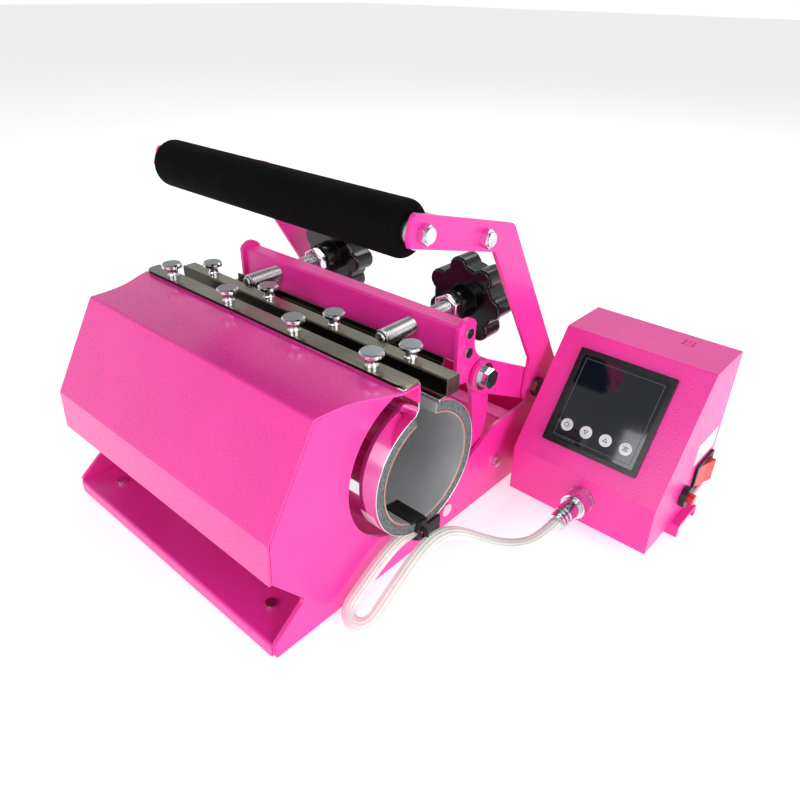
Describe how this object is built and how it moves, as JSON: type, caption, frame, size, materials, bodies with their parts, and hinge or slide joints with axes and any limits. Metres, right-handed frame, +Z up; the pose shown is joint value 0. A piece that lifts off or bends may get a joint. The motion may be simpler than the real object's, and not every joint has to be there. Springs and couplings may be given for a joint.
{
  "type": "mug heat press",
  "caption": "Tumbler heat press: C-shaped heating mat on a pink steel frame, closed by a toggle handle with links, with a control box on a side bracket.",
  "frame": {"origin": "on the table, under the middle of the heater axis", "axes": "+X along the heater axis towards the control box, -Y to the front, +Z up"},
  "size_m": [0.3869, 0.329, 0.2472],
  "materials": {
    "pink_paint": "satin hot-pink powder coat",
    "pink_texture": "wrinkle-textured hot-pink powder coat",
    "polished_steel": "polished dark nickel",
    "band_steel": "polished stainless band",
    "chrome": "bright chrome",
    "zinc": "zinc-plated steel",
    "foam_black": "matte black foam",
    "knob_black": "glossy black plastic",
    "pad_grey": "grey silicone foam",
    "boot_black": "black silicone",
    "feet_rubber": "black rubber",
    "display_black": "glossy black plastic",
    "button_silver": "pale silver plastic",
    "red_plastic": "glossy red plastic",
    "black_plastic": "black plastic",
    "board_green": "circuit board",
    "brass": "brass disc",
    "cable_white": "white ribbed silicone"
  },
  "bodies": {
    "frame": {"base_pan": "pink_paint", "left_side_plate": "pink_paint", "right_side_plate": "pink_paint", "front_cover": "pink_paint", "rear_panel": "pink_paint", "rubber_feet": "feet_rubber", "frame_screws": "chrome", "front_clamp_bar": "polished_steel", "front_mat_band": "band_steel", "front_heating_pad": "pad_grey", "lead_boot": "boot_black", "handle_pivot_bolts": "chrome", "jaw_pivot_bolts": "chrome", "control_bracket": "pink_paint", "control_box_shell": "pink_texture", "control_box_base": "pink_paint", "display_module": "display_black", "controller_board": "board_green", "buzzer": "brass", "inlet_socket": "black_plastic", "switch_bezels": "black_plastic", "connector_socket": "chrome", "cable_plug": "chrome", "heater_cable": "cable_white"},
    "jaw": {"left_jaw_arm": "pink_paint", "right_jaw_arm": "pink_paint", "pusher_bar": "pink_paint", "jaw_screws": "chrome", "rear_mat_band": "band_steel", "rear_heating_pad": "pad_grey"},
    "clamp_carriage": {"rear_clamp_bar": "polished_steel", "rear_clamp_channel": "polished_steel"},
    "left_knob": {"left_stud": "zinc", "left_star_knob": "knob_black"},
    "right_knob": {"right_stud": "zinc", "right_star_knob": "knob_black"},
    "links": {"links": "pink_paint", "link_shaft": "polished_steel", "link_bolts": "chrome"},
    "handle": {"left_handle_arm": "pink_paint", "right_handle_arm": "pink_paint", "grip_tube": "zinc", "foam_grip": "foam_black", "tie_rod": "zinc", "handle_bolts": "chrome"},
    "coupling_ring": {"coupling_nut": "chrome"},
    "rocker_key": {"rocker": "red_plastic"},
    "reset_key": {"reset_button": "red_plastic"},
    "set_key": {"set_button": "button_silver"},
    "down_key": {"down_button": "button_silver"},
    "up_key": {"up_button": "button_silver"},
    "mode_key": {"mode_button": "button_silver"},
    "front_screw_1": {"front_thumb_screw_1": "chrome"},
    "rear_screw_1": {"rear_thumb_screw_1": "chrome"},
    "front_screw_2": {"front_thumb_screw_2": "chrome"},
    "rear_screw_2": {"rear_thumb_screw_2": "chrome"},
    "front_screw_3": {"front_thumb_screw_3": "chrome"},
    "rear_screw_3": {"rear_thumb_screw_3": "chrome"},
    "front_screw_4": {"front_thumb_screw_4": "chrome"},
    "rear_screw_4": {"rear_thumb_screw_4": "chrome"}
  },
  "joints": [
    {"name": "handle_swing", "type": "hinge", "parent": "frame", "child": "handle", "pos_m": [0, 0.171, 0.066], "axis": [1, 0, 0], "range_deg": [-70, 0]},
    {"name": "jaw_swing", "type": "hinge", "parent": "frame", "child": "jaw", "pos_m": [0, 0.0406, 0.0193], "axis": [1, 0, 0], "range_deg": [-15.42, 0]},
    {"name": "link_swing", "type": "hinge", "parent": "handle", "child": "links", "pos_m": [0, 0.1427, 0.0803], "axis": [1, 0, 0], "range_deg": [0, 94.07]},
    {"name": "clamp_slide", "type": "slide", "parent": "jaw", "child": "clamp_carriage", "axis": [0, 1, 0], "range_m": [-0.007, 0.007]},
    {"name": "left_knob_turn", "type": "hinge", "parent": "clamp_carriage", "child": "left_knob", "pos_m": [-0.07, 0.116, 0.1455], "axis": [0, 1, 0], "range_deg": [-1440.5, 1440.5]},
    {"name": "right_knob_turn", "type": "hinge", "parent": "clamp_carriage", "child": "right_knob", "pos_m": [0.07, 0.116, 0.1455], "axis": [0, 1, 0], "range_deg": [-1440.5, 1440.5]},
    {"name": "front_screw_turn_1", "type": "hinge", "parent": "frame", "child": "front_screw_1", "pos_m": [-0.1024, -0.0185, 0.154], "axis": [0, 0, 1], "continuous": true},
    {"name": "rear_screw_turn_1", "type": "hinge", "parent": "clamp_carriage", "child": "rear_screw_1", "pos_m": [-0.1024, 0.016, 0.146], "axis": [0, 0, 1], "continuous": true},
    {"name": "front_screw_turn_2", "type": "hinge", "parent": "frame", "child": "front_screw_2", "pos_m": [-0.0343, -0.0185, 0.154], "axis": [0, 0, 1], "continuous": true},
    {"name": "rear_screw_turn_2", "type": "hinge", "parent": "clamp_carriage", "child": "rear_screw_2", "pos_m": [-0.0343, 0.016, 0.146], "axis": [0, 0, 1], "continuous": true},
    {"name": "front_screw_turn_3", "type": "hinge", "parent": "frame", "child": "front_screw_3", "pos_m": [0.0343, -0.0185, 0.154], "axis": [0, 0, 1], "continuous": true},
    {"name": "rear_screw_turn_3", "type": "hinge", "parent": "clamp_carriage", "child": "rear_screw_3", "pos_m": [0.0343, 0.016, 0.146], "axis": [0, 0, 1], "continuous": true},
    {"name": "front_screw_turn_4", "type": "hinge", "parent": "frame", "child": "front_screw_4", "pos_m": [0.1024, -0.0185, 0.154], "axis": [0, 0, 1], "continuous": true},
    {"name": "rear_screw_turn_4", "type": "hinge", "parent": "clamp_carriage", "child": "rear_screw_4", "pos_m": [0.1024, 0.016, 0.146], "axis": [0, 0, 1], "continuous": true},
    {"name": "set_press", "type": "slide", "parent": "frame", "child": "set_key", "axis": [0, 0.8154, -0.5788], "range_m": [0, 0.0005], "stiffness_N_per_m": 800},
    {"name": "down_press", "type": "slide", "parent": "frame", "child": "down_key", "axis": [0, 0.8154, -0.5788], "range_m": [0, 0.0005], "stiffness_N_per_m": 800},
    {"name": "up_press", "type": "slide", "parent": "frame", "child": "up_key", "axis": [0, 0.8154, -0.5788], "range_m": [0, 0.0005], "stiffness_N_per_m": 800},
    {"name": "mode_press", "type": "slide", "parent": "frame", "child": "mode_key", "axis": [0, 0.8154, -0.5788], "range_m": [0, 0.0005], "stiffness_N_per_m": 800},
    {"name": "rocker_tip", "type": "hinge", "parent": "frame", "child": "rocker_key", "pos_m": [0.2379, 0.19, 0.0345], "axis": [0, 0, 1], "range_deg": [0, 18]},
    {"name": "reset_press", "type": "slide", "parent": "frame", "child": "reset_key", "axis": [-1, 0, 0], "range_m": [0, 0.002], "stiffness_N_per_m": 800},
    {"name": "coupling_turn", "type": "hinge", "parent": "frame", "child": "coupling_ring", "pos_m": [0.1905, 0.097, 0.0314], "axis": [0, 1, 0], "continuous": true}
  ],
  "couplings": [
    {"joint": "jaw_swing", "follows": "handle_swing", "ratio": 0.21957},
    {"joint": "link_swing", "follows": "handle_swing", "ratio": -1.3431},
    {"joint": "left_knob_turn", "follows": "clamp_slide", "rad_per_m": -3590.4},
    {"joint": "right_knob_turn", "follows": "clamp_slide", "rad_per_m": -3590.4}
  ]
}
